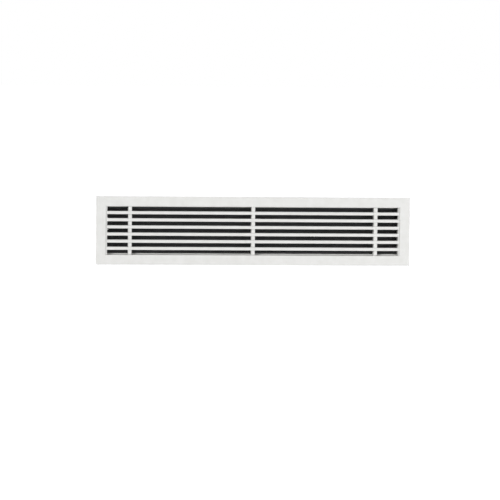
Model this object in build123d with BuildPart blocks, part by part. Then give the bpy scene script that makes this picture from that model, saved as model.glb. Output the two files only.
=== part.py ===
from build123d import *

import os
from math import acos, cos, degrees, pi, radians, tan

# Linear bar grille for a supply air opening, with an opposed-vane damper behind its bars.
# Sizes are in millimetres. X runs along the bars, Z is up and the face looks towards -Y.
# The origin is the centre of the aperture, in the plane of the wall behind the flange.

# Aperture and bars, as seen from the room
aperture_length = 600.0
bar_count = 6
bar_pitch = 14.5
bar_margin = 13.0
bar_thickness = 6.0
bar_depth = 20.0
bar_recess = 1.0
bar_edge_radius = 0.6
bar_tail_thickness = 3.0
bar_tail_chamfer = 0.8
lap_depth = 10.0

# Cross bars: channels that lap into the bars from behind
cross_count = 3
cross_inset = 49.0
cross_width = 7.0
cross_recess = 3.0
cross_wall = 1.5

# End rails: strips that take the tenons of the bars
rail_wall = 2.0
rail_edge_chamfer = 0.4
tenon_height = 3.2
tenon_depth = 9.0

# Frame extrusion: flange, lip against the wall, key channel, neck and stop rib
flange_width = 20.0
flange_stand = 4.0
flange_wall = 1.5
lip_wall = 1.5
hook_wall = 0.9
hook_reach = 2.4
neck_wall = 1.5
neck_grip = 14.0
rib_wall = 1.5
rib_reach = 2.0
face_edge_radius = 0.6

# Corner keys in the key channel
key_leg = 38.0
key_chamfer = 2.0

# Damper casing, folded from sheet
casing_wall = 1.0
casing_depth = 34.0
casing_lip = 4.0
casing_tab_length = 9.0
casing_tab_width = 8.0
casing_tab_offset = 11.0

# Damper vanes
vane_count = 4
vane_wall = 1.0
vane_overlap = 1.0
vane_edge = 3.0
vane_flat = 13.0
vane_edge_gap = 0.5
vane_tip_gap = 0.7

# Moulded end pieces of the vanes: a gear at one end, a plain cap at the other
gear_teeth = 20
gear_width = 5.0
gear_addendum = 0.75
gear_dedendum = 0.95
gear_backlash = 0.15
pressure_angle = 20.0
socket_height = 12.0
socket_wall = 1.6
socket_length = 8.0
pivot_radius = 3.0

# Operating lever, worked with a screwdriver blade between two bars
lever_reach = 16.0
lever_width = 12.0
lever_foot = 10.0
lever_wall = 1.0
lever_corner = 3.0

# Spring clips that hold the grille in the wall
clip_inset = 80.0
clip_width = 18.0
clip_wall = 0.8
clip_base = 13.0
clip_crest = 8.0
clip_crest_depth = 12.0
clip_return_depth = 8.0
clip_return_height = 4.2
clip_hairpin = 3.2
clip_bend_radius = 1.2
clip_rivet_spacing = 9.0

# Fasteners; shanks and heads have few sides, and the holes take the shanks' shape
shank_sides = 8
head_sides = 12
screw_radius = 1.5
screw_head_radius = 2.9
screw_head_height = 1.9
screw_head_chamfer = 0.7
screw_slot_width = 0.8
screw_slot_depth = 0.9
rivet_radius = 1.5
rivet_head_radius = 2.5
rivet_head_height = 0.9
rivet_head_chamfer = 0.5
lever_rivet_radius = 1.0
lever_rivet_head_radius = 1.9
lever_rivet_spacing = 7.0
damper_screw_inset = 180.0
damper_screw_depth = 7.0
damper_screw_tip = 2.0

# Clearances
core_gap = 0.5
core_side_gap = 0.3
lap_gap = 0.05
key_gap = 0.1
stop_gap = 0.2
casing_gap = 0.5
fold_gap = 0.1
gear_gap = 0.5
cap_gap = 0.8
pivot_gap = 0.08
socket_gap = 0.05
hole_gap = 0.05

# Places worked out from the sizes above
aperture_height = (bar_count - 1) * bar_pitch + 2 * bar_margin
half_length = aperture_length / 2
half_height = aperture_height / 2
face_front = -flange_stand
bar_front = face_front + bar_recess
bar_rear = bar_front + bar_depth
lap_line = bar_front + lap_depth
cross_front = bar_front + cross_recess
rib_front = bar_rear + stop_gap
casing_front = rib_front + rib_wall + stop_gap
casing_rear = casing_front + casing_depth
neck_rear = casing_front + neck_grip
vane_line = (casing_front + casing_rear) / 2
vane_front = vane_line - vane_wall / 2
damper_screw_line = casing_front + damper_screw_depth
neck_outer = half_height + neck_wall
clip_place = half_length - clip_inset
clip_rear = neck_rear - clip_hairpin / 2
clip_rivet_line = clip_rear - clip_base / 2
damper_screw_place = half_length - damper_screw_inset

rail_outer = half_length - core_gap
rail_inner = rail_outer - rail_wall
core_height = aperture_height - 2 * core_side_gap
core_screw_height = bar_pitch
cross_spacing = (aperture_length - 2 * cross_inset) / (cross_count - 1)
bar_heights = [((bar_count - 1) / 2 - index) * bar_pitch for index in range(bar_count)]
cross_places = [(index - (cross_count - 1) / 2) * cross_spacing for index in range(cross_count)]

casing_outer = half_height - casing_gap
casing_inner = casing_outer - casing_wall
end_plate_outer = half_length - casing_gap
end_plate_inner = end_plate_outer - casing_wall
end_plate_depth = casing_depth - 2 * (casing_wall + fold_gap)

vane_pitch = (2 * casing_inner - 2 * vane_tip_gap - vane_overlap) / vane_count
vane_half_chord = (vane_pitch + vane_overlap) / 2
vane_offset = (vane_wall + vane_edge_gap) / 2
vane_heights = [((vane_count - 1) / 2 - index) * vane_pitch for index in range(vane_count)]
gear_outer_face = end_plate_inner - gear_gap
gear_inner_face = gear_outer_face - gear_width
socket_depth = vane_wall + 2 * (socket_gap + socket_wall)
lever_vane = vane_count - 1
lever_place = cross_spacing / 2

inwards = Vector(0, 1, 0)


def save(piece, name):
    """Label a finished piece and write it to its own file."""
    piece.part.label = name
    export_step(piece.part, f"parts/{name}.step")


def make_shank(radius, length):
    """A shank, or the tool that cuts its hole, from the origin along -Z."""
    with BuildPart() as shank:
        with BuildSketch():
            RegularPolygon(radius, shank_sides)
        extrude(amount=-length)
    return shank.part


def make_frame_member(name, outward, half_reach, half_run, holes):
    """One mitred length of the frame; holes are (tool, seats) pairs for its neck."""
    along = outward.cross(inwards)
    middle = outward * half_reach
    with BuildPart() as member:
        with BuildSketch(Plane(origin=middle, x_dir=outward, z_dir=along)) as section:
            with Locations((0, face_front)):
                Rectangle(flange_width, flange_wall, align=(Align.MIN, Align.MIN))
                Rectangle(neck_wall, neck_rear - face_front, align=(Align.MIN, Align.MIN))
            with Locations((flange_width, face_front)):
                Rectangle(lip_wall, flange_stand, align=(Align.MAX, Align.MIN))
            with Locations((neck_wall, 0)):
                Rectangle(hook_reach, hook_wall, align=(Align.MIN, Align.MAX))
            with Locations((flange_width - lip_wall, 0)):
                Rectangle(hook_reach, hook_wall, align=(Align.MAX, Align.MAX))
            with Locations((0, rib_front)):
                Rectangle(rib_reach, rib_wall, align=(Align.MAX, Align.MIN))
            fillet(section.vertices().group_by(Axis.Y)[0], face_edge_radius)
        extrude(amount=half_run + flange_width, both=True)
        for end in (along, -along):
            mitre = Plane(origin=middle + end * half_run, z_dir=end - outward)
            split(bisect_by=mitre, keep=Keep.BOTTOM)
        for tool, seats in holes:
            with Locations(*seats):
                add(tool, mode=Mode.SUBTRACT)
    save(member, name)


def make_corner_key(name, side, level):
    """An L-shaped steel key that lies in the key channels of two frame members."""
    inner = neck_wall + key_gap
    outer = flange_width - lip_wall - key_gap
    leg_width = outer - inner
    leg_length = key_leg + outer
    key_wall = flange_stand - flange_wall - hook_wall - 2 * key_gap
    front = face_front + flange_wall + key_gap
    corner = Vector(side * half_length, front, level * half_height)
    with BuildPart() as key:
        with BuildSketch(Plane(origin=corner, x_dir=(1, 0, 0), z_dir=(0, -1, 0))) as outline:
            with Locations((side * (outer - leg_length / 2), level * (inner + leg_width / 2))):
                Rectangle(leg_length, leg_width)
            with Locations((side * (inner + leg_width / 2), level * (outer - leg_length / 2))):
                Rectangle(leg_width, leg_length)
            leg_tips = (
                outline.vertices().sort_by(Axis.X, reverse=side > 0)[-2:]
                + outline.vertices().sort_by(Axis.Y, reverse=level > 0)[-2:]
            )
            chamfer(leg_tips, key_chamfer)
        extrude(amount=-key_wall)
    save(key, name)


def make_bar(name, height):
    """A fixed bar: flat face, tapered tail, tenons, and a lap notch for each cross bar."""
    centre = Vector(0, bar_front, height)
    with BuildPart() as bar:
        with BuildSketch(Plane(origin=centre, x_dir=inwards, z_dir=(1, 0, 0))) as section:
            Rectangle(lap_depth, bar_thickness, align=(Align.MIN, Align.CENTER))
            Rectangle(bar_depth, bar_tail_thickness, align=(Align.MIN, Align.CENTER))
            make_hull()
            fillet(section.vertices().group_by(Axis.X)[0], bar_edge_radius)
            chamfer(section.vertices().group_by(Axis.X)[-1], bar_tail_chamfer)
        extrude(amount=rail_inner, both=True)
        with BuildSketch(Plane.YZ):
            with Locations((lap_line, height)):
                Rectangle(tenon_depth, tenon_height)
        extrude(amount=rail_outer, both=True)
        with BuildSketch(Plane.XY.offset(height)):
            with Locations(*[(place, lap_line) for place in cross_places]):
                Rectangle(
                    cross_width + 2 * lap_gap, bar_depth, align=(Align.CENTER, Align.MIN)
                )
        extrude(amount=bar_thickness, both=True, mode=Mode.SUBTRACT)
    save(bar, name)


def make_cross_bar(name, place):
    """An upright channel, open to the rear, with a front notch for each bar."""
    with BuildPart() as cross:
        with BuildSketch(Plane.XY):
            with Locations((place, cross_front)):
                Rectangle(cross_width, bar_rear - cross_front, align=(Align.CENTER, Align.MIN))
            with Locations((place, cross_front + cross_wall)):
                Rectangle(
                    cross_width - 2 * cross_wall,
                    bar_depth,
                    align=(Align.CENTER, Align.MIN),
                    mode=Mode.SUBTRACT,
                )
        extrude(amount=core_height / 2, both=True)
        with BuildSketch(Plane.YZ.offset(place)):
            with Locations(*[(lap_line, height) for height in bar_heights]):
                Rectangle(
                    lap_depth, bar_thickness + 2 * lap_gap, align=(Align.MAX, Align.CENTER)
                )
        extrude(amount=cross_width, both=True, mode=Mode.SUBTRACT)
    save(cross, name)


def make_end_rail(name, side):
    """The strip at one end of the core, slotted for the tenons of the bars."""
    with BuildPart() as rail:
        with BuildSketch(Plane.YZ.offset(side * rail_inner)):
            with Locations((bar_front, 0)):
                Rectangle(bar_depth, core_height, align=(Align.MIN, Align.CENTER))
            with Locations(*[(lap_line, height) for height in bar_heights]):
                Rectangle(
                    tenon_depth + 2 * lap_gap, tenon_height + 2 * lap_gap, mode=Mode.SUBTRACT
                )
        extrude(amount=side * rail_wall)
        chamfer(rail.edges().filter_by(Axis.Z).group_by(Axis.Y)[0], rail_edge_chamfer)
        with Locations(*core_screw_seats(side)):
            add(core_screw_hole, mode=Mode.SUBTRACT)
    save(rail, name)


def core_screw_seats(side):
    """The places outside one end of the neck where the heads of the core's screws sit."""
    reach = side * (half_length + neck_wall)
    heights = [level * core_screw_height for level in (1, -1)]
    return [Plane(origin=(reach, lap_line, z), z_dir=(side, 0, 0)) for z in heights]


def damper_screw_seats(level):
    """The places on the top or bottom of the neck where the heads of the damper's screws sit."""
    height = level * neck_outer
    places = [side * damper_screw_place for side in (1, -1)]
    return [Plane(origin=(x, damper_screw_line, height), z_dir=(0, 0, level)) for x in places]


def make_fastener(radius, length, head_radius, head_height, head_chamfer, slot=False):
    """A screw or a set rivet with its head's underside at the origin, pointing to -Z."""
    with BuildPart() as fastener:
        with BuildSketch():
            RegularPolygon(head_radius, head_sides)
        extrude(amount=head_height)
        chamfer(fastener.faces().sort_by(Axis.Z)[-1].edges(), head_chamfer)
        if slot:
            with Locations((0, 0, head_height)):
                Box(2 * head_radius, screw_slot_width, 2 * screw_slot_depth, mode=Mode.SUBTRACT)
        add(make_shank(radius, length))
    return fastener.part


def make_fasteners(name, fastener, seats):
    """Copies of one fastener, each on its own seat, kept as separate solids in one piece."""
    with BuildPart() as group:
        with Locations(*seats):
            add(fastener)
    save(group, name)


def make_spring_clip(name, side, level):
    """A folded leaf of spring steel, riveted outside the neck and barbed towards the flange."""
    mouth = Vector(side * clip_place, 0, level * neck_outer)
    with BuildPart() as clip:
        with BuildSketch(Plane(origin=mouth, x_dir=inwards, z_dir=(level, 0, 0))):
            with BuildLine():
                FilletPolyline(
                    (clip_rear - clip_base, 0),
                    (clip_rear, 0),
                    (clip_rear, clip_hairpin),
                    (clip_crest_depth, clip_crest),
                    (clip_return_depth, clip_return_height),
                    radius=clip_bend_radius,
                )
                offset(amount=clip_wall, side=Side.RIGHT)
            make_face()
        extrude(amount=clip_width / 2, both=True)
        with Locations(*clip_rivet_seats(side, level)):
            add(clip_rivet_hole, mode=Mode.SUBTRACT)
    save(clip, name)


def clip_rivet_seats(side, level):
    """The two places on the base of one clip where the heads of its rivets sit."""
    height = level * (neck_outer + clip_wall)
    places = [side * clip_place + shift * clip_rivet_spacing / 2 for shift in (1, -1)]
    return [Plane(origin=(x, clip_rivet_line, height), z_dir=(0, 0, level)) for x in places]


def make_casing_channel(name, level):
    """The top or bottom of the damper casing: a channel whose lips turn towards its middle."""
    with BuildPart() as channel:
        with BuildSketch(Plane.YZ):
            with Locations((vane_line, level * (casing_outer - casing_wall / 2))):
                Rectangle(casing_depth, casing_wall)
            lip_rise = casing_lip + casing_wall
            for edge in (casing_front + casing_wall / 2, casing_rear - casing_wall / 2):
                with Locations((edge, level * (casing_outer - lip_rise / 2))):
                    Rectangle(casing_wall, lip_rise)
        extrude(amount=end_plate_outer, both=True)
        for side in (1, -1):
            with Locations(*casing_rivet_seats(side, level)):
                add(casing_rivet_hole, mode=Mode.SUBTRACT)
        with Locations(*damper_screw_seats(level)):
            add(damper_screw_hole, mode=Mode.SUBTRACT)
    save(channel, name)


def casing_rivet_seats(side, level):
    """The places under the tabs of one casing corner where the heads of its rivets sit."""
    place = side * (end_plate_inner - casing_tab_length / 2)
    height = level * (casing_inner - casing_wall)
    depths = [vane_line + shift * casing_tab_offset for shift in (1, -1)]
    return [Plane(origin=(place, y, height), z_dir=(0, 0, -level)) for y in depths]


def make_end_plate(name, side):
    """One end of the damper casing: a plate with pivot holes and tabs folded under the channels."""
    with BuildPart() as plate:
        with BuildSketch(Plane.YZ.offset(side * end_plate_inner)):
            with Locations((vane_line, 0)):
                Rectangle(end_plate_depth, 2 * casing_inner)
            with Locations(*[(vane_line, height) for height in vane_heights]):
                Circle(pivot_radius + pivot_gap, mode=Mode.SUBTRACT)
        extrude(amount=side * casing_wall)
        for level in (1, -1):
            with BuildSketch(Plane.XY.offset(level * casing_inner)):
                tab_middle = end_plate_inner - (casing_tab_length - casing_wall) / 2
                for shift in (1, -1):
                    with Locations((side * tab_middle, vane_line + shift * casing_tab_offset)):
                        Rectangle(casing_tab_length + casing_wall, casing_tab_width)
            extrude(amount=-level * casing_wall)
            with Locations(*casing_rivet_seats(side, level)):
                add(casing_rivet_hole, mode=Mode.SUBTRACT)
    save(plate, name)


def make_vane(name, height, rivet_seats):
    """A sheet vane with stepped edges, so that neighbours overlap when the damper is closed."""
    step = vane_half_chord - vane_edge
    middle_line = [
        (-vane_offset, vane_half_chord),
        (-vane_offset, step),
        (0, vane_flat / 2),
        (0, -vane_flat / 2),
        (vane_offset, -step),
        (vane_offset, -vane_half_chord),
    ]
    front = [(depth - vane_wall / 2, rise) for depth, rise in middle_line]
    rear = [(depth + vane_wall / 2, rise) for depth, rise in reversed(middle_line)]
    axis = Vector(0, vane_line, height)
    with BuildPart() as vane:
        with BuildSketch(Plane(origin=axis, x_dir=inwards, z_dir=(1, 0, 0))):
            with BuildLine():
                Polyline(*front, *rear, close=True)
            make_face()
        extrude(amount=gear_inner_face, both=True)
        for seat in rivet_seats:
            with Locations(seat):
                add(lever_rivet_hole, mode=Mode.SUBTRACT)
    save(vane, name)


def tooth_point(radius, flank):
    """A point on a flank, 1 or -1, of the involute tooth that points along X."""
    pitch_radius = vane_pitch / 2
    base_radius = pitch_radius * cos(radians(pressure_angle))
    pitch_roll = radians(pressure_angle)
    roll = acos(base_radius / max(radius, base_radius))
    half_angle = pi / (2 * gear_teeth) - gear_backlash / (2 * pitch_radius)
    half_angle += (tan(pitch_roll) - pitch_roll) - (tan(roll) - roll)
    return Vector(radius, 0).rotate(Axis.Z, flank * degrees(half_angle))


def make_gear(name, index):
    """A vane's toothed end piece; a tooth of one faces a gap of the next."""
    pitch_radius = vane_pitch / 2
    module = vane_pitch / gear_teeth
    root_radius = pitch_radius - gear_dedendum * module
    tip_radius = pitch_radius + gear_addendum * module
    flank = [root_radius - module / 4, pitch_radius, tip_radius]
    with BuildSketch() as tooth:
        with BuildLine():
            rising = [tooth_point(radius, -1) for radius in flank]
            falling = [tooth_point(radius, 1) for radius in reversed(flank)]
            Polyline(*rising, *falling, close=True)
        make_face()

    first_tooth = 180 / gear_teeth * (index % 2)
    face = Vector(gear_outer_face, vane_line, vane_heights[index])
    with BuildPart() as gear:
        with BuildSketch(Plane(origin=face, x_dir=(0, 0, 1), z_dir=(1, 0, 0))):
            RegularPolygon(root_radius, 2 * gear_teeth)
            with PolarLocations(0, gear_teeth, start_angle=first_tooth):
                add(tooth.sketch)
        extrude(amount=-gear_width)
        add_pivot_and_socket(index, 1)
    save(gear, name)


def make_pivot(name, index):
    """A vane's plain end piece, whose cap closes the gap beside the vane."""
    face = Vector(-gear_inner_face, vane_line, vane_heights[index])
    with BuildPart() as pivot:
        with BuildSketch(Plane(origin=face, x_dir=(0, 0, 1), z_dir=(-1, 0, 0))):
            Rectangle(vane_pitch - cap_gap, socket_depth)
        extrude(amount=gear_width)
        add_pivot_and_socket(index, -1)
    save(pivot, name)


def add_pivot_and_socket(index, side):
    """Add the stub that turns in the end plate, and the slotted socket that grips the vane."""
    height = vane_heights[index]
    stub = Vector(side * gear_outer_face, vane_line, height)
    with Locations(Plane(origin=stub, z_dir=(side, 0, 0))):
        Cylinder(
            pivot_radius,
            end_plate_outer - gear_outer_face,
            align=(Align.CENTER, Align.CENTER, Align.MIN),
        )
    root = Vector(side * gear_inner_face, vane_line, height)
    with Locations(Plane(origin=root, x_dir=(0, 0, 1), z_dir=(-side, 0, 0))):
        for depth, mode in ((socket_depth, Mode.ADD), (vane_wall + 2 * socket_gap, Mode.SUBTRACT)):
            Box(
                socket_height,
                depth,
                socket_length,
                align=(Align.CENTER, Align.CENTER, Align.MIN),
                mode=mode,
            )


def lever_rivet_seats():
    """The places on the lever's foot where the heads of its rivets sit."""
    depth = vane_front - lever_wall
    height = vane_heights[lever_vane - 1]
    places = [lever_place + shift * lever_rivet_spacing / 2 for shift in (1, -1)]
    return [Plane(origin=(x, depth, height), z_dir=(0, -1, 0)) for x in places]


def make_lever(name):
    """The bent strip on one vane that reaches forward to just behind the bars."""
    height = vane_heights[lever_vane - 1]
    foot_top = height + lever_foot / 2
    foot_bottom = height - lever_foot / 2
    foot_front = vane_front - lever_wall
    tip = vane_line - lever_reach
    with BuildPart() as lever:
        with BuildSketch(Plane.YZ.offset(lever_place)):
            with BuildLine():
                Polyline(
                    (vane_front, foot_top),
                    (foot_front, foot_top),
                    (foot_front, foot_bottom + lever_wall),
                    (tip, foot_bottom + lever_wall),
                    (tip, foot_bottom),
                    (vane_front, foot_bottom),
                    close=True,
                )
            make_face()
        extrude(amount=lever_width / 2, both=True)
        fillet(lever.edges().filter_by(Axis.Z).group_by(Axis.Y)[0], lever_corner)
        with Locations(*lever_rivet_seats()):
            add(lever_rivet_hole, mode=Mode.SUBTRACT)
    save(lever, name)


os.makedirs("parts", exist_ok=True)

core_grip = neck_wall + core_gap + rail_wall
damper_grip = neck_wall + casing_gap + casing_wall
core_screw_hole = make_shank(screw_radius + hole_gap, core_grip)
damper_screw_hole = make_shank(screw_radius + hole_gap, damper_grip)
clip_rivet_hole = make_shank(rivet_radius + hole_gap, clip_wall + neck_wall)
casing_rivet_hole = make_shank(rivet_radius + hole_gap, 2 * casing_wall)
lever_rivet_hole = make_shank(lever_rivet_radius + hole_gap, lever_wall + vane_wall)

sides = {"left": -1, "right": 1}
levels = {"bottom": -1, "top": 1}
all_seats = {"core": [], "damper": [], "clip": [], "casing": []}
for level_name, level in levels.items():
    clip_seats = clip_rivet_seats(1, level) + clip_rivet_seats(-1, level)
    holes = [(damper_screw_hole, damper_screw_seats(level)), (clip_rivet_hole, clip_seats)]
    outward = Vector(0, 0, level)
    make_frame_member(f"frame_{level_name}", outward, half_height, half_length, holes)
    make_casing_channel(f"damper_{level_name}", level)
    all_seats["damper"] += damper_screw_seats(level)
    all_seats["clip"] += clip_seats
    for side_name, side in sides.items():
        make_corner_key(f"corner_key_{level_name}_{side_name}", side, level)
        make_spring_clip(f"spring_clip_{level_name}_{side_name}", side, level)
        all_seats["casing"] += casing_rivet_seats(side, level)
for side_name, side in sides.items():
    holes = [(core_screw_hole, core_screw_seats(side))]
    outward = Vector(side, 0, 0)
    make_frame_member(f"frame_{side_name}", outward, half_length, half_height, holes)
    make_end_rail(f"end_rail_{side_name}", side)
    make_end_plate(f"damper_end_{side_name}", side)
    all_seats["core"] += core_screw_seats(side)

for index, height in enumerate(bar_heights, start=1):
    make_bar(f"bar_{index}", height)
for index, place in enumerate(cross_places, start=1):
    make_cross_bar(f"cross_bar_{index}", place)

for index, height in enumerate(vane_heights):
    rivet_seats = lever_rivet_seats() if index + 1 == lever_vane else []
    make_vane(f"damper_vane_{index + 1}", height, rivet_seats)
    make_gear(f"vane_gear_{index + 1}", index)
    make_pivot(f"vane_pivot_{index + 1}", index)
make_lever("damper_lever")

screw_head = (screw_head_radius, screw_head_height, screw_head_chamfer)
rivet_head = (rivet_head_radius, rivet_head_height, rivet_head_chamfer)
lever_rivet_head = (lever_rivet_head_radius, rivet_head_height, rivet_head_chamfer)
core_screw = make_fastener(screw_radius, core_grip, *screw_head, slot=True)
damper_screw = make_fastener(screw_radius, damper_grip + damper_screw_tip, *screw_head, slot=True)
clip_rivet = make_fastener(rivet_radius, clip_wall + neck_wall, *rivet_head)
casing_rivet = make_fastener(rivet_radius, 2 * casing_wall, *rivet_head)
lever_rivet = make_fastener(lever_rivet_radius, lever_wall + vane_wall, *lever_rivet_head)
make_fasteners("core_screws", core_screw, all_seats["core"])
make_fasteners("damper_screws", damper_screw, all_seats["damper"])
make_fasteners("clip_rivets", clip_rivet, all_seats["clip"])
make_fasteners("casing_rivets", casing_rivet, all_seats["casing"])
make_fasteners("lever_rivets", lever_rivet, lever_rivet_seats())
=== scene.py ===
"""The looks of a white linear bar grille and of the black damper behind its bars.

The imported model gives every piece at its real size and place, in metres: X runs along the bars,
Z is up and the face looks towards -Y. This script gives the pieces their finishes and soft
edges, builds finer screws, rivets and vane ends in the place of the plain ones, and adds a plain
studio and the camera.
"""

import logging
import math
from dataclasses import dataclass
from enum import Enum
from typing import Any, Iterable

import bmesh
import bpy
from mathutils import Matrix, Vector


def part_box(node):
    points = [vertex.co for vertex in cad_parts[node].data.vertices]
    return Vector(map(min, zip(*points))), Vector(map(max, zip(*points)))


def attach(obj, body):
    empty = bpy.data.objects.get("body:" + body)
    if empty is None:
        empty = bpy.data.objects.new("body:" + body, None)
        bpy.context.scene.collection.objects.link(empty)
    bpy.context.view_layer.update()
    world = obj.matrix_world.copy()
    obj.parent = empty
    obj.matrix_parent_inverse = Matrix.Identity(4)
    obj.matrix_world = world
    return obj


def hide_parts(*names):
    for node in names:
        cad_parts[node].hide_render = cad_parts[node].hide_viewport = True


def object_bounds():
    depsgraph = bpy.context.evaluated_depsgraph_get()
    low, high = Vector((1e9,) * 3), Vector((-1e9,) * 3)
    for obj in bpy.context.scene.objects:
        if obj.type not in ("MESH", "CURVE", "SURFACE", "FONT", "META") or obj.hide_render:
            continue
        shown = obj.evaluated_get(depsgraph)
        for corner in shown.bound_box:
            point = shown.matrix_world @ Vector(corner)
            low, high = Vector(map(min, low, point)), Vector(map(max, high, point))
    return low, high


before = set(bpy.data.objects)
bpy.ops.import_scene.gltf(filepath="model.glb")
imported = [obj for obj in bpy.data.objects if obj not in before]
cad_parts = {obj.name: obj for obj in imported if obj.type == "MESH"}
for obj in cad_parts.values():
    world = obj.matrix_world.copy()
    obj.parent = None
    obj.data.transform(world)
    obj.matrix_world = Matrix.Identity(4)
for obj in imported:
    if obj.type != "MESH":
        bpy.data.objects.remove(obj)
CAD_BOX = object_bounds()

LOG = logging.getLogger("bar_grille")
# A millimetre in metres.
MM = 0.001
# An edge is sharp where its faces turn by more than this, and flat where they turn by less.
SHARP_ANGLE = 35.0
FLAT_ANGLE = 0.3
# Vertices nearer than this are one, which closes the seams between the faces of a CAD solid.
WELD_MM = 0.002
# How many faces a small rounding takes, on a CAD piece and on a block that is built here, and
# Blender's number for a rounding that is an arc.
ARRIS_STEPS = 2
BLOCK_EDGE_STEPS = 3
ARC_PROFILE = 0.5
# How much finer layers add to a noise, how many a mottle and a relief have, and the part of the
# noise over which a mottle goes from one tone to the other.
NOISE_ROUGHNESS = 0.55
MOTTLE_DETAIL = 3.0
RELIEF_DETAIL = 2.0
TONE_START = 0.3
TONE_END = 0.7


class Axis(Enum):
    """An axis of the frame, by its place in a vector."""

    X = 0
    Y = 1
    Z = 2


class Joining(Enum):
    """How two closed meshes become one."""

    ADD = "UNION"
    CUT = "DIFFERENCE"


def linear(hex_colour: str) -> tuple[float, float, float, float]:
    """Turn an sRGB colour into the linear values that a shader takes.

    Args:
        hex_colour: Six hex digits after a hash sign.

    Returns:
        Red, green, blue and an alpha of one.
    """
    values = []
    for start in (1, 3, 5):
        share = int(hex_colour[start : start + 2], 16) / 255
        values.append(share / 12.92 if share <= 0.04045 else ((share + 0.055) / 1.055) ** 2.4)
    return (*values, 1.0)


def add_node(
    tree: bpy.types.NodeTree,
    kind: str,
    values: dict[str, Any] | None = None,
    links: dict[str, bpy.types.NodeSocket] | None = None,
    **settings: Any,
) -> bpy.types.Node:
    """Add a node with its settings, its socket values and the links that feed it.

    Args:
        tree: The tree that gets the node.
        kind: The node's type name.
        values: Values for unlinked sockets, by socket name.
        links: Output sockets that feed this node, by the name of the socket they feed.
        settings: Properties of the node itself.

    Returns:
        The new node.
    """
    node = tree.nodes.new(kind)
    for name, value in settings.items():
        setattr(node, name, value)
    for name, value in (values or {}).items():
        node.inputs[name].default_value = value
    for name, source in (links or {}).items():
        tree.links.new(source, node.inputs[name])
    return node


def new_tree(name: str) -> tuple[bpy.types.Material, bpy.types.NodeTree]:
    """Make an empty node material.

    Args:
        name: The material's name.

    Returns:
        The material and its node tree.
    """
    material = bpy.data.materials.new(name)
    material.use_nodes = True
    material.node_tree.nodes.clear()
    return material, material.node_tree


@dataclass(frozen=True)
class Finish:
    """A surface as it leaves the works: its colour, its gloss and its fine relief.

    The colour and the gloss wander between two values over mottle_mm, and the relief is a noise
    of relief_mm. Both are drawn out by grain_stretch along the grain, where there is one.
    """

    name: str
    colour: str
    second_colour: str
    roughness: float
    roughness_spread: float
    mottle_mm: float
    relief_mm: float
    relief_height_mm: float
    metallic: float = 0.0
    ior: float = 1.5
    grain: Axis | None = None
    grain_stretch: float = 1.0

    def coordinates(self, tree: bpy.types.NodeTree) -> bpy.types.NodeSocket:
        """Give the piece's own coordinates, squeezed along the grain so that marks run long.

        Args:
            tree: The material's node tree.

        Returns:
            The socket with the coordinates in metres.
        """
        place = add_node(tree, "ShaderNodeTexCoord").outputs["Object"]
        if self.grain is None:
            return place
        squeeze = [1.0, 1.0, 1.0]
        squeeze[self.grain.value] = 1 / self.grain_stretch
        mapping = add_node(
            tree, "ShaderNodeMapping", values={"Scale": squeeze}, links={"Vector": place}
        )
        return mapping.outputs["Vector"]

    def noise(
        self, tree: bpy.types.NodeTree, place: bpy.types.NodeSocket, size_mm: float, detail: float
    ) -> bpy.types.NodeSocket:
        """Add a noise whose lumps measure size_mm.

        Args:
            tree: The material's node tree.
            place: The coordinates in metres.
            size_mm: The spacing of the lumps.
            detail: The number of finer layers.

        Returns:
            The socket with the noise from 0 to 1.
        """
        values = {"Scale": 1 / (size_mm * MM), "Detail": detail, "Roughness": NOISE_ROUGHNESS}
        texture = add_node(tree, "ShaderNodeTexNoise", values=values, links={"Vector": place})
        return texture.outputs["Fac"]

    def material(self) -> bpy.types.Material:
        """Build the node material of this finish.

        Returns:
            The material.
        """
        material, tree = new_tree(self.name)
        place = self.coordinates(tree)
        mottle = self.noise(tree, place, self.mottle_mm, MOTTLE_DETAIL)
        tones = add_node(tree, "ShaderNodeValToRGB", links={"Fac": mottle})
        ends = ((TONE_START, self.second_colour), (TONE_END, self.colour))
        for stop, (position, colour) in zip(tones.color_ramp.elements, ends):
            stop.position = position
            stop.color = linear(colour)
        gloss = add_node(
            tree,
            "ShaderNodeMapRange",
            values={
                "To Min": self.roughness - self.roughness_spread,
                "To Max": self.roughness + self.roughness_spread,
            },
            links={"Value": mottle},
        )
        relief = add_node(
            tree,
            "ShaderNodeBump",
            values={"Strength": 1.0, "Distance": self.relief_height_mm * MM},
            links={"Height": self.noise(tree, place, self.relief_mm, RELIEF_DETAIL)},
        )
        surface = add_node(
            tree,
            "ShaderNodeBsdfPrincipled",
            values={"Metallic": self.metallic, "IOR": self.ior},
            links={
                "Base Color": tones.outputs["Color"],
                "Roughness": gloss.outputs["Result"],
                "Normal": relief.outputs["Normal"],
            },
        )
        add_node(
            tree, "ShaderNodeOutputMaterial", links={"Surface": surface.outputs["BSDF"]}
        )
        return material


# Polyester powder, sprayed and stoved on extruded aluminium: a warm satin white with the faint
# orange peel that makes its highlights waver. The peel is about 1.5 mm from lump to lump, and
# it is drawn a few times as deep as it is, because it is too fine to show otherwise.
WHITE_POWDER_COAT = Finish(
    name="white_powder_coat",
    colour="#EEEEEC",
    second_colour="#E8E8E5",
    roughness=0.4,
    roughness_spread=0.06,
    mottle_mm=14.0,
    relief_mm=1.5,
    relief_height_mm=0.1,
)

# Matt black air-drying paint on aluminium sheet: nearly no gloss, a dry look, and a tone that
# wanders a little where the spray lies thinner. Its grit is finer than 0.1 mm and is drawn as
# lumps of 0.8 mm, so that it shows.
MATT_BLACK_PAINT = Finish(
    name="matt_black_paint",
    colour="#363738",
    second_colour="#28292A",
    roughness=0.7,
    roughness_spread=0.1,
    mottle_mm=18.0,
    relief_mm=0.8,
    relief_height_mm=0.1,
)

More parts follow.
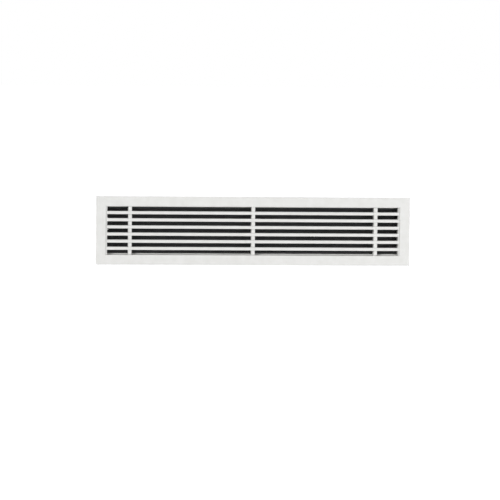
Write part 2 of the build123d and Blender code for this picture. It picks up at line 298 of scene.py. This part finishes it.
# Black glass-filled nylon from a spark-eroded mould: a dull sheen with an even fine grain. The
# grain is near 0.1 mm and is drawn at 0.5 mm, so that it shows.
BLACK_NYLON = Finish(
    name="moulded_black_nylon",
    colour="#262627",
    second_colour="#212122",
    roughness=0.5,
    roughness_spread=0.05,
    mottle_mm=5.0,
    relief_mm=0.5,
    relief_height_mm=0.06,
    ior=1.53,
)

# Zinc-plated steel: a bright grey metal whose clear passivate gives soft, uneven reflections in
# patches of about 3 mm.
ZINC_PLATED_STEEL = Finish(
    name="zinc_plated_steel",
    colour="#C6C9CC",
    second_colour="#B4B7B9",
    roughness=0.36,
    roughness_spread=0.07,
    mottle_mm=3.0,
    relief_mm=0.4,
    relief_height_mm=0.02,
    metallic=1.0,
)

# Hardened and tempered spring strip: a darker steel with rolling lines along the strip. The
# lines are near 0.1 mm apart and are drawn at 0.35 mm, so that they show.
SPRING_STEEL = Finish(
    name="rolled_spring_steel",
    colour="#9B9DA0",
    second_colour="#85878B",
    roughness=0.3,
    roughness_spread=0.08,
    mottle_mm=1.2,
    relief_mm=0.35,
    relief_height_mm=0.02,
    metallic=1.0,
    grain=Axis.Y,
    grain_stretch=14.0,
)

# Plain aluminium, pressed by the setting tool: a light, slightly dull metal with shallow dents
# of about 0.5 mm.
PLAIN_ALUMINIUM = Finish(
    name="plain_aluminium",
    colour="#D9DADC",
    second_colour="#C9CACC",
    roughness=0.42,
    roughness_spread=0.06,
    mottle_mm=1.5,
    relief_mm=0.5,
    relief_height_mm=0.03,
    metallic=1.0,
)


class Draft:
    """A mesh in the making, in millimetres."""

    def __init__(self) -> None:
        """Start with nothing."""
        self.points: list[Vector] = []
        self.faces: list[list[int]] = []

    def add_rings(self, rings: list[list[Vector]]) -> None:
        """Add a closed skin over rings of equal length, with both ends capped.

        Args:
            rings: The rings in order; each runs the same way round.
        """
        start, size = len(self.points), len(rings[0])
        for ring in rings:
            self.points += ring
        for step in range(len(rings) - 1):
            low = start + step * size
            for index in range(size):
                after = (index + 1) % size
                self.faces.append(
                    [low + index, low + after, low + size + after, low + size + index]
                )
        last = start + (len(rings) - 1) * size
        self.faces.append(list(reversed(range(start, start + size))))
        self.faces.append(list(range(last, last + size)))

    def mesh(self) -> bpy.types.Mesh:
        """Turn the draft into a mesh whose faces all look outwards.

        Returns:
            The mesh, still in millimetres.
        """
        mesh = bpy.data.meshes.new("draft")
        mesh.from_pydata(self.points, [], self.faces)
        form = bmesh.new()
        form.from_mesh(mesh)
        bmesh.ops.recalc_face_normals(form, faces=form.faces)
        form.to_mesh(mesh)
        form.free()
        return mesh


def circle(radius: float, height: float, count: int) -> list[Vector]:
    """Give the points of a level circle around the Z axis.

    Args:
        radius: Its radius.
        height: Its place along Z.
        count: How many points it has.

    Returns:
        The points.
    """
    turns = [2 * math.pi * index / count for index in range(count)]
    return [Vector((radius * math.cos(turn), radius * math.sin(turn), height)) for turn in turns]


def soft_block(low: Vector, high: Vector, edge_radius: float) -> bpy.types.Mesh:
    """Make a block with rounded edges.

    Args:
        low: Its lowest corner.
        high: Its highest corner.
        edge_radius: The radius of its edges.

    Returns:
        The block's mesh, in the units of its corners.
    """
    form = bmesh.new()
    size = high - low
    place = Matrix.Translation((low + high) / 2) @ Matrix.Diagonal((*size, 1.0))
    bmesh.ops.create_cube(form, size=1.0, matrix=place)
    if edge_radius > 0:
        bmesh.ops.bevel(
            form,
            geom=form.edges,
            offset=edge_radius,
            segments=BLOCK_EDGE_STEPS,
            profile=ARC_PROFILE,
            affect="EDGES",
        )
    mesh = bpy.data.meshes.new("block")
    form.to_mesh(mesh)
    form.free()
    return mesh


def joined(base: bpy.types.Mesh, tool: bpy.types.Mesh, how: Joining) -> bpy.types.Mesh:
    """Join a closed mesh to another, or cut it out of it.

    Args:
        base: The mesh that is kept.
        tool: The mesh that is added or cut away.
        how: Which of the two.

    Returns:
        A new closed mesh.
    """
    holders = []
    for mesh in (base, tool):
        holder = bpy.data.objects.new("joining", mesh)
        bpy.context.scene.collection.objects.link(holder)
        holders.append(holder)
    modifier = holders[0].modifiers.new("joining", "BOOLEAN")
    modifier.operation = how.value
    modifier.solver = "EXACT"
    modifier.object = holders[1]
    depsgraph = bpy.context.evaluated_depsgraph_get()
    result = bpy.data.meshes.new_from_object(holders[0].evaluated_get(depsgraph))
    for holder in holders:
        bpy.data.objects.remove(holder)
    return result


def copied(mesh: bpy.types.Mesh, places: list[Matrix]) -> bpy.types.Mesh:
    """Repeat a mesh at several places.

    Args:
        mesh: The mesh to repeat, in millimetres.
        places: Where each copy goes, in millimetres.

    Returns:
        One mesh with all the copies, in metres.
    """
    form = bmesh.new()
    for place in places:
        copy = mesh.copy()
        copy.transform(Matrix.Scale(MM, 4) @ place)
        form.from_mesh(copy)
        bpy.data.meshes.remove(copy)
    result = bpy.data.meshes.new("copies")
    form.to_mesh(result)
    form.free()
    return result


def add_piece(
    name: str,
    mesh: bpy.types.Mesh,
    finish: bpy.types.Material,
    body: str,
    slot: str,
    node: str,
) -> bpy.types.Object:
    """Put a piece built here in the place of a CAD node.

    Args:
        name: The piece's name.
        mesh: Its mesh, in metres and in the frame.
        finish: Its material.
        body: The CAD body that it rides on.
        slot: The record's material slot; not used.
        node: The CAD node that it stands for.

    Returns:
        The new object.
    """
    mesh.materials.clear()
    mesh.materials.append(finish)
    mesh.polygons.foreach_set("use_smooth", [True] * len(mesh.polygons))
    mesh.set_sharp_from_angle(angle=math.radians(SHARP_ANGLE))
    piece = bpy.data.objects.new(name, mesh)
    bpy.context.scene.collection.objects.link(piece)
    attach(piece, body)
    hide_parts(node)
    LOG.info("%s: %s, in the place of %s", name, finish.name, node)
    return piece


def give_finish(names: Iterable[str], material: bpy.types.Material) -> None:
    """Give CAD nodes a finish.

    Args:
        names: The nodes' names.
        material: The finish that they all take.
    """
    for name in names:
        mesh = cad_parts[name].data
        mesh.materials.clear()
        mesh.materials.append(material)
        LOG.info("%s: %s", name, material.name)


def soften(names: Iterable[str], radius_mm: float) -> None:
    """Round the sharp edges of CAD nodes a little, so that they catch the light.

    The flats are made whole first, because a rounding breaks up where it meets a flat's inner
    edges.

    Args:
        names: The nodes' names.
        radius_mm: The width of the rounding in millimetres.
    """
    for name in names:
        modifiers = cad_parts[name].modifiers
        weld = modifiers.new("weld", "WELD")
        weld.merge_threshold = WELD_MM * MM
        flats = modifiers.new("whole_flats", "DECIMATE")
        flats.decimate_type = "DISSOLVE"
        flats.angle_limit = math.radians(FLAT_ANGLE)
        bevel = modifiers.new("soft_edges", "BEVEL")
        bevel.width = radius_mm * MM
        bevel.segments = ARRIS_STEPS
        bevel.limit_method = "ANGLE"
        bevel.angle_limit = math.radians(SHARP_ANGLE)
        modifiers.new("even_shading", "WEIGHTED_NORMAL")


def numbered(stem: str, count: int) -> list[str]:
    """Give the names of pieces that are numbered from one.

    Args:
        stem: The part of the name before the number.
        count: How many pieces there are.

    Returns:
        The names, in order.
    """
    return [f"{stem}_{index}" for index in range(1, count + 1)]


def at_corners(stem: str) -> list[str]:
    """Give the names of the four pieces that sit one near each corner.

    Args:
        stem: The part of the name before the corner.

    Returns:
        The names, the upper ones first.
    """
    return [f"{stem}_{level}_{side}" for level in ("top", "bottom") for side in ("left", "right")]


@dataclass
class MitredFrame:
    """The four flanged extrusions and the steel keys in their corners; roundings in mm."""

    coat: Finish = WHITE_POWDER_COAT
    key_finish: Finish = ZINC_PLATED_STEEL
    members: tuple[str, ...] = ("frame_top", "frame_bottom", "frame_left", "frame_right")
    arris_mm: float = 0.18
    key_arris_mm: float = 0.2

    def dress(self) -> None:
        """Paint the extrusions and plate the keys."""
        keys = at_corners("corner_key")
        give_finish(self.members, self.coat.material())
        give_finish(keys, self.key_finish.material())
        soften(self.members, self.arris_mm)
        soften(keys, self.key_arris_mm)


@dataclass
class BarCore:
    """The fixed bars, the cross bars they lap into and the rails at their ends."""

    bar_count: int = 6
    cross_count: int = 3
    coat: Finish = WHITE_POWDER_COAT
    arris_mm: float = 0.1

    def dress(self) -> None:
        """Paint the whole core in one colour, which rounds its edges a little."""
        pieces = numbered("bar", self.bar_count) + numbered("cross_bar", self.cross_count)
        pieces += ["end_rail_left", "end_rail_right"]
        give_finish(pieces, self.coat.material())
        soften(pieces, self.arris_mm)


@dataclass(frozen=True)
class EndMoulding:
    """The moulded end of a vane: a stub that turns in the casing and two jaws on the vane.

    Sizes are in millimetres, and edge_middle is how far the middle of a rounded edge lies in from
    its corner, as a share of the radius. The stub's tip and the axis come from the CAD node. The
    axis is Z in the moulding's own frame, and the vane lies towards -Z.
    """

    body_width: float = 5.0
    stub_radius: float = 3.0
    stub_length: float = 1.5
    jaw_length: float = 8.0
    jaw_height: float = 12.0
    jaws_across: float = 4.3
    jaw_slot: float = 1.1
    jaw_sink: float = 0.5
    edge_radius: float = 0.3
    edge_middle: float = 1 / 3
    stub_points: int = 48

    def with_stub_and_jaws(self, body: bpy.types.Mesh) -> bpy.types.Mesh:
        """Join the stub and the two jaws to a body that lies below z = 0.

        Args:
            body: The gear or the cap, from z = 0 down to its width.

        Returns:
            The whole moulding.
        """
        wide, tip, soft = self.stub_radius, self.stub_length, self.edge_radius
        middle = soft * self.edge_middle
        profile = (
            (wide, -self.jaw_sink), (wide, tip - soft), (wide - middle, tip - middle), (wide - soft, tip)
        )
        stub = Draft()
        stub.add_rings([circle(radius, height, self.stub_points) for radius, height in profile])
        whole = joined(body, stub.mesh(), Joining.ADD)
        for side in (1, -1):
            inner, outer = side * self.jaw_slot / 2, side * self.jaws_across / 2
            low = Vector(
                (-self.jaw_height / 2, min(inner, outer), -self.body_width - self.jaw_length)
            )
            high = Vector(
                (self.jaw_height / 2, max(inner, outer), -self.body_width + self.jaw_sink)
            )
            whole = joined(whole, soft_block(low, high, self.edge_radius), Joining.ADD)
        return whole


@dataclass(frozen=True)
class VaneGear(EndMoulding):
    """The toothed end piece, with involute teeth that have radiused roots.

    The addendum and the dedendum count in modules. The flank starts at foot_share of the way
    from the root to the pitch circle, and root_share of the gap beside it is rounded out.
    """

    teeth: int = 20
    pitch_radius: float = 11.6375
    pressure_angle: float = 20.0
    addendum: float = 0.75
    dedendum: float = 0.95
    backlash: float = 0.15
    flank_steps: int = 7
    foot_share: float = 0.25
    root_share: float = 0.55

    def half_angle(self, radius: float) -> float:
        """Give half the angle that a tooth fills at a radius.

        Args:
            radius: The distance from the axis.

        Returns:
            The angle in radians.
        """
        base = self.pitch_radius * math.cos(math.radians(self.pressure_angle))
        pitch_roll = math.radians(self.pressure_angle)
        roll = math.acos(base / max(radius, base))
        middle = math.pi / (2 * self.teeth) - self.backlash / (2 * self.pitch_radius)
        return middle + (math.tan(pitch_roll) - pitch_roll) - (math.tan(roll) - roll)

    def outline(self, first_tooth: float, inset: float, height: float) -> list[Vector]:
        """Draw the gear's outline, or one drawn in by a little for its soft rim.

        Args:
            first_tooth: The angle of the first tooth in degrees.
            inset: How far the outline is drawn in.
            height: Its place along Z.

        Returns:
            The points, anticlockwise.
        """
        module = 2 * self.pitch_radius / self.teeth
        root = self.pitch_radius - self.dedendum * module
        tip = self.pitch_radius + self.addendum * module
        foot = root + (self.pitch_radius - root) * self.foot_share
        count = self.flank_steps
        radii = [foot + (tip - foot) * step / count for step in range(count + 1)]
        pitch_angle = 2 * math.pi / self.teeth
        gap = pitch_angle / 2 - self.half_angle(foot)
        steps = [(root, -pitch_angle / 2), (root, -pitch_angle / 2 + gap * self.root_share)]
        steps += [(radius, -self.half_angle(radius)) for radius in radii]
        steps.append((tip, 0.0))
        steps += [(radius, self.half_angle(radius)) for radius in reversed(radii)]
        steps.append((root, pitch_angle / 2 - gap * self.root_share))
        points = []
        for tooth in range(self.teeth):
            centre = math.radians(first_tooth) + tooth * pitch_angle
            for radius, angle in steps:
                reach = radius - inset
                turn = centre + angle
                points.append(Vector((reach * math.cos(turn), reach * math.sin(turn), height)))
        return points

    def mesh(self, first_tooth: float) -> bpy.types.Mesh:
        """Build the gear with its stub and jaws.

        Args:
            first_tooth: The angle of the first tooth in degrees.

        Returns:
            The mesh in millimetres, with the gear's outer face at z = 0.
        """
        rim, width = self.edge_radius / 2, self.body_width
        levels = ((rim, 0.0), (0.0, -rim), (0.0, rim - width), (rim, -width))
        gear = Draft()
        gear.add_rings([self.outline(first_tooth, inset, height) for inset, height in levels])
        return self.with_stub_and_jaws(gear.mesh())


@dataclass(frozen=True)
class VaneCap(EndMoulding):
    """The plain end piece, whose slim cap closes the gap beside the vane."""

    cap_length: float = 22.475

    def mesh(self) -> bpy.types.Mesh:
        """Build the cap with its stub and jaws.

        Returns:
            The mesh in millimetres, with the cap's outer face at z = 0.
        """
        corner = Vector((self.cap_length / 2, self.jaws_across / 2, 0.0))
        low = Vector((-corner.x, -corner.y, -self.body_width))
        return self.with_stub_and_jaws(soft_block(low, corner, self.edge_radius))


@dataclass
class Damper:
    """The black casing behind the bars, its vanes, their end pieces and the lever.

    Neighbouring gears mesh, so every second one is turned by half a tooth's pitch.
    """

    vane_count: int = 4
    paint: Finish = MATT_BLACK_PAINT
    moulding: Finish = BLACK_NYLON
    gear: VaneGear = VaneGear()
    cap: VaneCap = VaneCap()
    sheet_arris_mm: float = 0.2

    def dress(self) -> None:
        """Paint the sheet pieces and put finer mouldings on the ends of the vanes."""
        sheet = ["damper_top", "damper_bottom", "damper_end_left", "damper_end_right"]
        sheet += numbered("damper_vane", self.vane_count) + ["damper_lever"]
        give_finish(sheet, self.paint.material())
        soften(sheet, self.sheet_arris_mm)
        nylon = self.moulding.material()
        half_pitch = 180 / self.gear.teeth
        cap = self.cap.mesh()
        forms = {"gear": (self.gear.mesh(0.0), self.gear.mesh(half_pitch)), "pivot": (cap, cap)}
        for index in range(self.vane_count):
            for kind, side in (("gear", 1), ("pivot", -1)):
                node = f"vane_{kind}_{index + 1}"
                mesh = copied(forms[kind][index % 2], [self.seat(node, side)])
                body = f"vane_{index + 1}"
                add_piece(f"moulded_{kind}_{index + 1}", mesh, nylon, body, "black_nylon", node)

    def seat(self, node: str, side: int) -> Matrix:
        """Find where a moulding's outer face and axis are.

        Args:
            node: The CAD node of the moulding.
            side: 1 at the right end of the vane, -1 at the left.

        Returns:
            The place in millimetres, with Z pointing out of the casing and X up.
        """
        low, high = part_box(node)
        middle = (low + high) / (2 * MM)
        tip = (high if side > 0 else low).x / MM
        face = Vector((tip - side * self.gear.stub_length, middle.y, middle.z))
        turn = Matrix(((0, 0, side), (0, -side, 0), (1, 0, 0)))
        return Matrix.Translation(face) @ turn.to_4x4()


@dataclass
class Seat:
    """Where one fastener sits, in millimetres, with Z pointing out of its head."""

    place: Matrix
    shank_length: float


def seats_of(node: str, axis: Axis, head_height: float) -> list[Seat]:
    """Find the fasteners in a CAD node that holds a group of them.

    The vertices that hang together make one fastener, and its head is at the wider end.

    Args:
        node: The CAD node.
        axis: The axis along which its fasteners lie.
        head_height: The height of their heads in millimetres.

    Returns:
        One seat for each fastener, ordered by place, so that every run gives the same order.
    """
    form = bmesh.new()
    form.from_mesh(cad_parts[node].data)
    bmesh.ops.remove_doubles(form, verts=form.verts, dist=WELD_MM * MM)
    left = set(form.verts)
    seats = []
    while left:
        reached, points = [left.pop()], []
        while reached:
            vertex = reached.pop()
            points.append(vertex.co / MM)
            near = {edge.other_vert(vertex) for edge in vertex.link_edges} & left
            left -= near
            reached += near
        seats.append(seat_among(points, axis, head_height))
    form.free()
    return sorted(seats, key=lambda seat: [round(value) for value in seat.place.translation])


def seat_among(points: list[Vector], axis: Axis, head_height: float) -> Seat:
    """Find the seat of the fastener that has these vertices.

    Args:
        points: The fastener's vertices in millimetres.
        axis: The axis along which it lies.
        head_height: The height of its head.

    Returns:
        Its seat.
    """
    along = axis.value
    low = Vector([min(point[row] for point in points) for row in range(3)])
    high = Vector([max(point[row] for point in points) for row in range(3)])
    middle = (low + high) / 2
    reach = {}
    for end in (low, high):
        rim = [point for point in points if abs(point[along] - end[along]) < WELD_MM]
        reach[end[along]] = max((point - middle).length for point in rim)
    top = max(reach, key=reach.get)
    side = 1 if top > middle[along] else -1
    outwards = Vector([side if row == along else 0 for row in range(3)])
    place = middle.copy()
    place[along] = top - side * head_height
    turn = outwards.to_track_quat("Z", "Y").to_matrix().to_4x4()
    return Seat(Matrix.Translation(place) @ turn, high[along] - low[along] - head_height)


@dataclass(frozen=True)
class PanScrew:
    """A slotted pan-head self-tapping screw; sizes are in millimetres.

    The head's profile is in shares of its radius and height, from the underside to the top, and
    the thread fades out over taper at the screw's end. The block that cuts the slot stands past
    the head at both ends of the slot and above.
    """

    head_radius: float = 2.9
    head_height: float = 1.9
    shank_radius: float = 1.4
    thread_depth: float = 0.35
    thread_pitch: float = 1.1
    slot_width: float = 0.8
    slot_depth: float = 0.9
    points: int = 32
    steps_per_pitch: int = 10
    taper: float = 0.8
    head_profile: tuple[tuple[float, float], ...] = (
        (0.97, 0.0), (1.0, 0.06), (1.0, 0.35), (0.95, 0.62), (0.8, 0.84), (0.5, 0.96), (0.2, 1.0)
    )

    def mesh(self, length: float) -> bpy.types.Mesh:
        """Build the screw with its head's underside at z = 0.

        Args:
            length: The shank's length.

        Returns:
            The mesh in millimetres.
        """
        top, wide = self.head_height, self.head_radius
        rings = self.thread_rings(length)
        rings += [
            circle(wide * share, top * rise, self.points) for share, rise in self.head_profile
        ]
        screw = Draft()
        screw.add_rings(rings)
        half = self.slot_width / 2
        low = Vector((-2 * wide, -half, top - self.slot_depth))
        high = Vector((2 * wide, half, 2 * top))
        return joined(screw.mesh(), soft_block(low, high, 0.0), Joining.CUT)

    def thread_rings(self, length: float) -> list[list[Vector]]:
        """Wind a thread on the shank: the radius swells once a pitch, and the swell turns.

        Args:
            length: The shank's length.

        Returns:
            The rings, from the screw's end up to its head.
        """
        count = round(length / self.thread_pitch * self.steps_per_pitch)
        rings = []
        for step in range(count + 1):
            height = -length + length * step / count
            fade = min(1.0, (height + length) / self.taper)
            ring = circle(1.0, height, self.points)
            for index, point in enumerate(ring):
                phase = (height / self.thread_pitch - index / self.points) % 1.0
                crest = 1 - abs(2 * phase - 1)
                radius = self.shank_radius - self.thread_depth * (1 - crest * fade)
                point.xy = point.xy * radius
            rings.append(ring)
        return rings


@dataclass(frozen=True)
class BlindRivet:
    """A domed rivet with the end of its broken mandrel in the middle; sizes in millimetres.

    Each profile is in shares of a radius and a height: the tail's of the shank's radius and the
    tail's rise, the dome's of the head's radius and height, and the mouth's of the mandrel's
    radius and depth. The mandrel's break stands a little above the bottom of the mouth.
    """

    head_radius: float = 2.5
    head_height: float = 0.9
    shank_radius: float = 1.4
    mandrel_radius: float = 0.75
    mandrel_depth: float = 0.35
    break_share: float = 0.3
    break_rise: float = 0.08
    tail_rise: float = 0.15
    tail_profile: tuple[tuple[float, float], ...] = ((0.35, 1.0), (0.8, 0.7), (1.0, 0.0))
    dome_profile: tuple[tuple[float, float], ...] = (
        (0.97, 0.0), (1.0, 0.12), (0.94, 0.42), (0.76, 0.76), (0.52, 0.95)
    )
    mouth_profile: tuple[tuple[float, float], ...] = ((1.15, 0.0), (1.0, 0.3), (0.9, 1.0))
    points: int = 32

    def mesh(self, length: float) -> bpy.types.Mesh:
        """Build the rivet with its head's underside at z = 0.

        Args:
            length: The shank's length.

        Returns:
            The mesh in millimetres.
        """
        wide, top, shank = self.head_radius, self.head_height, self.shank_radius
        hole, depth = self.mandrel_radius, self.mandrel_depth
        profile = [
            (shank * share, -length - self.tail_rise * rise) for share, rise in self.tail_profile
        ]
        profile.append((shank, 0.0))
        profile += [(wide * share, top * rise) for share, rise in self.dome_profile]
        profile += [(hole * share, top - depth * drop) for share, drop in self.mouth_profile]
        profile.append((hole * self.break_share, top - depth + self.break_rise))
        rivet = Draft()
        rivet.add_rings([circle(radius, height, self.points) for radius, height in profile])
        return rivet.mesh()


@dataclass(frozen=True)
class FastenerGroup:
    """A CAD node that holds like fasteners, and what they are."""

    node: str
    axis: Axis
    form: PanScrew | BlindRivet
    slot: str
    body: str = "grille"


@dataclass
class Fixings:
    """Spring clips, screws and rivets.

    Every fastener of a group is turned by slot_turn degrees more than the one before it, so
    that no two slots stand alike.
    """

    spring: Finish = SPRING_STEEL
    plating: Finish = ZINC_PLATED_STEEL
    rivet_metal: Finish = PLAIN_ALUMINIUM
    screw: PanScrew = PanScrew()
    rivet: BlindRivet = BlindRivet()
    small_rivet: BlindRivet = BlindRivet(head_radius=1.9, shank_radius=0.95, mandrel_radius=0.55)
    slot_turn: float = 137.5
    clip_arris_mm: float = 0.12

    def dress(self) -> None:
        """Give the clips their steel, and put finer screws and rivets on their seats."""
        clips = at_corners("spring_clip")
        give_finish(clips, self.spring.material())
        soften(clips, self.clip_arris_mm)
        steel, aluminium = self.plating.material(), self.rivet_metal.material()
        for group in (
            FastenerGroup("core_screws", Axis.X, self.screw, "screw_steel"),
            FastenerGroup("damper_screws", Axis.Z, self.screw, "screw_steel"),
            FastenerGroup("clip_rivets", Axis.Z, self.rivet, "rivet_aluminium"),
            FastenerGroup("casing_rivets", Axis.Z, self.rivet, "rivet_aluminium"),
            FastenerGroup("lever_rivets", Axis.Y, self.small_rivet, "rivet_aluminium", "vane_3"),
        ):
            self.build(group, steel if group.form is self.screw else aluminium)

    def build(self, group: FastenerGroup, finish: bpy.types.Material) -> None:
        """Build one group of fasteners.

        Args:
            group: The group.
            finish: Its material.
        """
        seats = seats_of(group.node, group.axis, group.form.head_height)
        single = group.form.mesh(seats[0].shank_length)
        places = [
            seat.place @ Matrix.Rotation(math.radians(self.slot_turn * index), 4, "Z")
            for index, seat in enumerate(seats)
        ]
        name = f"detailed_{group.node}"
        add_piece(name, copied(single, places), finish, group.body, group.slot, group.node)


def direction(azimuth: float, elevation: float) -> Vector:
    """Point from the grille to a place around it.

    Args:
        azimuth: Degrees to the right of the grille's front, seen from there.
        elevation: Degrees above the level.

    Returns:
        A vector of length one.
    """
    turn, rise = math.radians(azimuth), math.radians(elevation)
    return Vector(
        (math.sin(turn) * math.cos(rise), -math.cos(turn) * math.cos(rise), math.sin(rise))
    )


@dataclass(frozen=True)
class Lamp:
    """A square soft light that looks at the grille; degrees, metres and watts."""

    name: str
    azimuth: float
    elevation: float
    distance: float
    size: float
    watts: float

    def hang(self) -> None:
        """Add the lamp to the scene."""
        lamp = bpy.data.lights.new(self.name, "AREA")
        lamp.shape = "SQUARE"
        lamp.size = self.size
        lamp.energy = self.watts
        place = direction(self.azimuth, self.elevation) * self.distance
        holder = bpy.data.objects.new(self.name, lamp)
        holder.location = place
        holder.rotation_mode = "QUATERNION"
        holder.rotation_quaternion = (-place).to_track_quat("-Z", "Y")
        bpy.context.scene.collection.objects.link(holder)
        LOG.info("%s: %.0f W", self.name, self.watts)


@dataclass
class Studio:
    """A plain pale floor, soft light from the left, a weak reflector and a white surround.

    The far low key brightens the sill under the bars, the reflector the flange's right side,
    and the rear lamp what is behind the wall.
    """

    key: Lamp = Lamp("key", azimuth=-36.0, elevation=17.0, distance=8.0, size=3.2, watts=318.0)
    reflector: Lamp = Lamp(
        "reflector", azimuth=32.0, elevation=-6.0, distance=2.2, size=0.9, watts=9.0
    )
    rear: Lamp = Lamp("rear", azimuth=152.0, elevation=20.0, distance=6.0, size=2.4, watts=150.0)
    fill_level: float = 0.28
    floor_drop: float = 0.55
    floor_half: float = 40.0
    floor_colour: str = "#F2F2F2"
    floor_shade: str = "#D4D4D4"
    near_glow: float = 0.7
    far_glow: float = 0.9
    near_reach: float = 1.5
    far_reach: float = 5.0

    def build(self) -> None:
        """Add the surround, the floor and the lamps."""
        self.add_surround()
        self.add_floor()
        for lamp in (self.key, self.reflector, self.rear):
            lamp.hang()

    def seen_directly(self, tree: bpy.types.NodeTree) -> bpy.types.NodeSocket:
        """Tell rays that show the surround, seen, mirrored or through glass, from the rest.

        Args:
            tree: The tree of the world or of the floor.

        Returns:
            A socket that is 1 for such rays.
        """
        path = add_node(tree, "ShaderNodeLightPath")
        total = path.outputs["Is Camera Ray"]
        for name in ("Is Glossy Ray", "Is Transmission Ray"):
            total = add_node(
                tree, "ShaderNodeMath", links={0: total, 1: path.outputs[name]}, operation="MAXIMUM"
            ).outputs["Value"]
        return total

    def add_surround(self) -> None:
        """Light the scene evenly from all around, and show the surround as plain white."""
        world = bpy.data.worlds.new("white_surround")
        bpy.context.scene.world = world
        world.use_nodes = True
        tree = world.node_tree
        tree.nodes.clear()
        level = add_node(
            tree,
            "ShaderNodeMapRange",
            values={"To Min": self.fill_level, "To Max": 1.0},
            links={"Value": self.seen_directly(tree)},
        )
        light = add_node(
            tree,
            "ShaderNodeBackground",
            values={"Color": (1.0, 1.0, 1.0, 1.0)},
            links={"Strength": level.outputs["Result"]},
        )
        add_node(tree, "ShaderNodeOutputWorld", links={"Surface": light.outputs["Background"]})

    def add_floor(self) -> None:
        """Lay a wide pale floor below the grille."""
        half = self.floor_half
        height = CAD_BOX[0].z - self.floor_drop
        mesh = bpy.data.meshes.new("floor")
        corners = [(-half, -half), (half, -half), (half, half), (-half, half)]
        mesh.from_pydata([(x, y, height) for x, y in corners], [], [(0, 1, 2, 3)])
        mesh.materials.append(self.floor_material())
        floor = bpy.data.objects.new("floor", mesh)
        bpy.context.scene.collection.objects.link(floor)

    def floor_material(self) -> bpy.types.Material:
        """Make a floor that lights the grille as pale paint does and shows as white.

        Seen directly it glows a little short of white and adds a diffuse share, so that only
        the grille's shadow falls below white. Far from the grille, where the lamps don't
        reach, it glows more.

        Returns:
            The floor's material.
        """
        material, tree = new_tree("pale_floor")
        paint = add_node(
            tree, "ShaderNodeBsdfDiffuse", values={"Color": linear(self.floor_colour)}
        )
        shade = add_node(
            tree, "ShaderNodeBsdfDiffuse", values={"Color": linear(self.floor_shade)}
        )
        place = add_node(tree, "ShaderNodeTexCoord").outputs["Object"]
        reach = add_node(tree, "ShaderNodeVectorMath", links={0: place}, operation="LENGTH")
        strength = add_node(
            tree,
            "ShaderNodeMapRange",
            values={
                "From Min": self.near_reach,
                "From Max": self.far_reach,
                "To Min": self.near_glow,
                "To Max": self.far_glow,
            },
            links={"Value": reach.outputs["Value"]},
            interpolation_type="SMOOTHSTEP",
        )
        glow = add_node(
            tree, "ShaderNodeEmission", links={"Strength": strength.outputs["Result"]}
        )
        shown = add_node(
            tree,
            "ShaderNodeAddShader",
            links={0: shade.outputs["BSDF"], 1: glow.outputs["Emission"]},
        )
        surface = add_node(
            tree,
            "ShaderNodeMixShader",
            links={0: self.seen_directly(tree), 1: paint.outputs["BSDF"], 2: shown.outputs[0]},
        )
        add_node(tree, "ShaderNodeOutputMaterial", links={"Surface": surface.outputs[0]})
        return material


@dataclass
class PhotoCamera:
    """A distant camera, a little left of the grille and above it, as in the photograph.

    The grille is grille_px wide in a picture of frame_px, with its middle at centre_px.
    """

    azimuth: float = -6.0
    elevation: float = 4.0
    roll: float = 0.67
    distance: float = 7.0
    sensor_mm: float = 36.0
    near_limit: float = 0.1
    far_limit: float = 200.0
    frame_px: float = 500.0
    grille_px: float = 312.0
    centre_px: tuple[float, float] = (252.0, 230.3)

    def build(self) -> None:
        """Aim the camera so that the grille is as large as in the photograph, and there."""
        low, high = CAD_BOX
        centre = (low + high) / 2
        back = direction(self.azimuth, self.elevation)
        seen_width = (high.x - low.x) * math.cos(math.radians(self.azimuth))
        metres_per_px = seen_width / self.grille_px
        frame_width = metres_per_px * self.frame_px

        pose = (-back).to_track_quat("-Z", "Y").to_matrix()
        pose = pose @ Matrix.Rotation(math.radians(self.roll), 3, "Z")
        right, up = pose.col[0], pose.col[1]
        aside = (self.frame_px / 2 - self.centre_px[0]) * metres_per_px
        above = (self.centre_px[1] - self.frame_px / 2) * metres_per_px

        data = bpy.data.cameras.new("photo_camera")
        data.sensor_width = self.sensor_mm
        data.lens = self.sensor_mm * self.distance / frame_width
        data.clip_start = self.near_limit
        data.clip_end = self.far_limit
        camera = bpy.data.objects.new("photo_camera", data)
        camera.matrix_world = Matrix.Translation(
            centre + back * self.distance + right * aside + up * above
        ) @ pose.to_4x4()
        bpy.context.scene.collection.objects.link(camera)
        bpy.context.scene.camera = camera
        LOG.info("camera: %.0f mm lens at %.1f m", data.lens, self.distance)


def main() -> None:
    """Dress the grille piece by piece, then build the studio and the camera."""
    logging.basicConfig(level=logging.INFO, format="%(name)s: %(message)s")
    bpy.context.scene.view_settings.view_transform = "Standard"
    for assembly in (MitredFrame(), BarCore(), Damper(), Fixings()):
        assembly.dress()
    Studio().build()
    PhotoCamera().build()


if __name__ == "__main__":
    main()
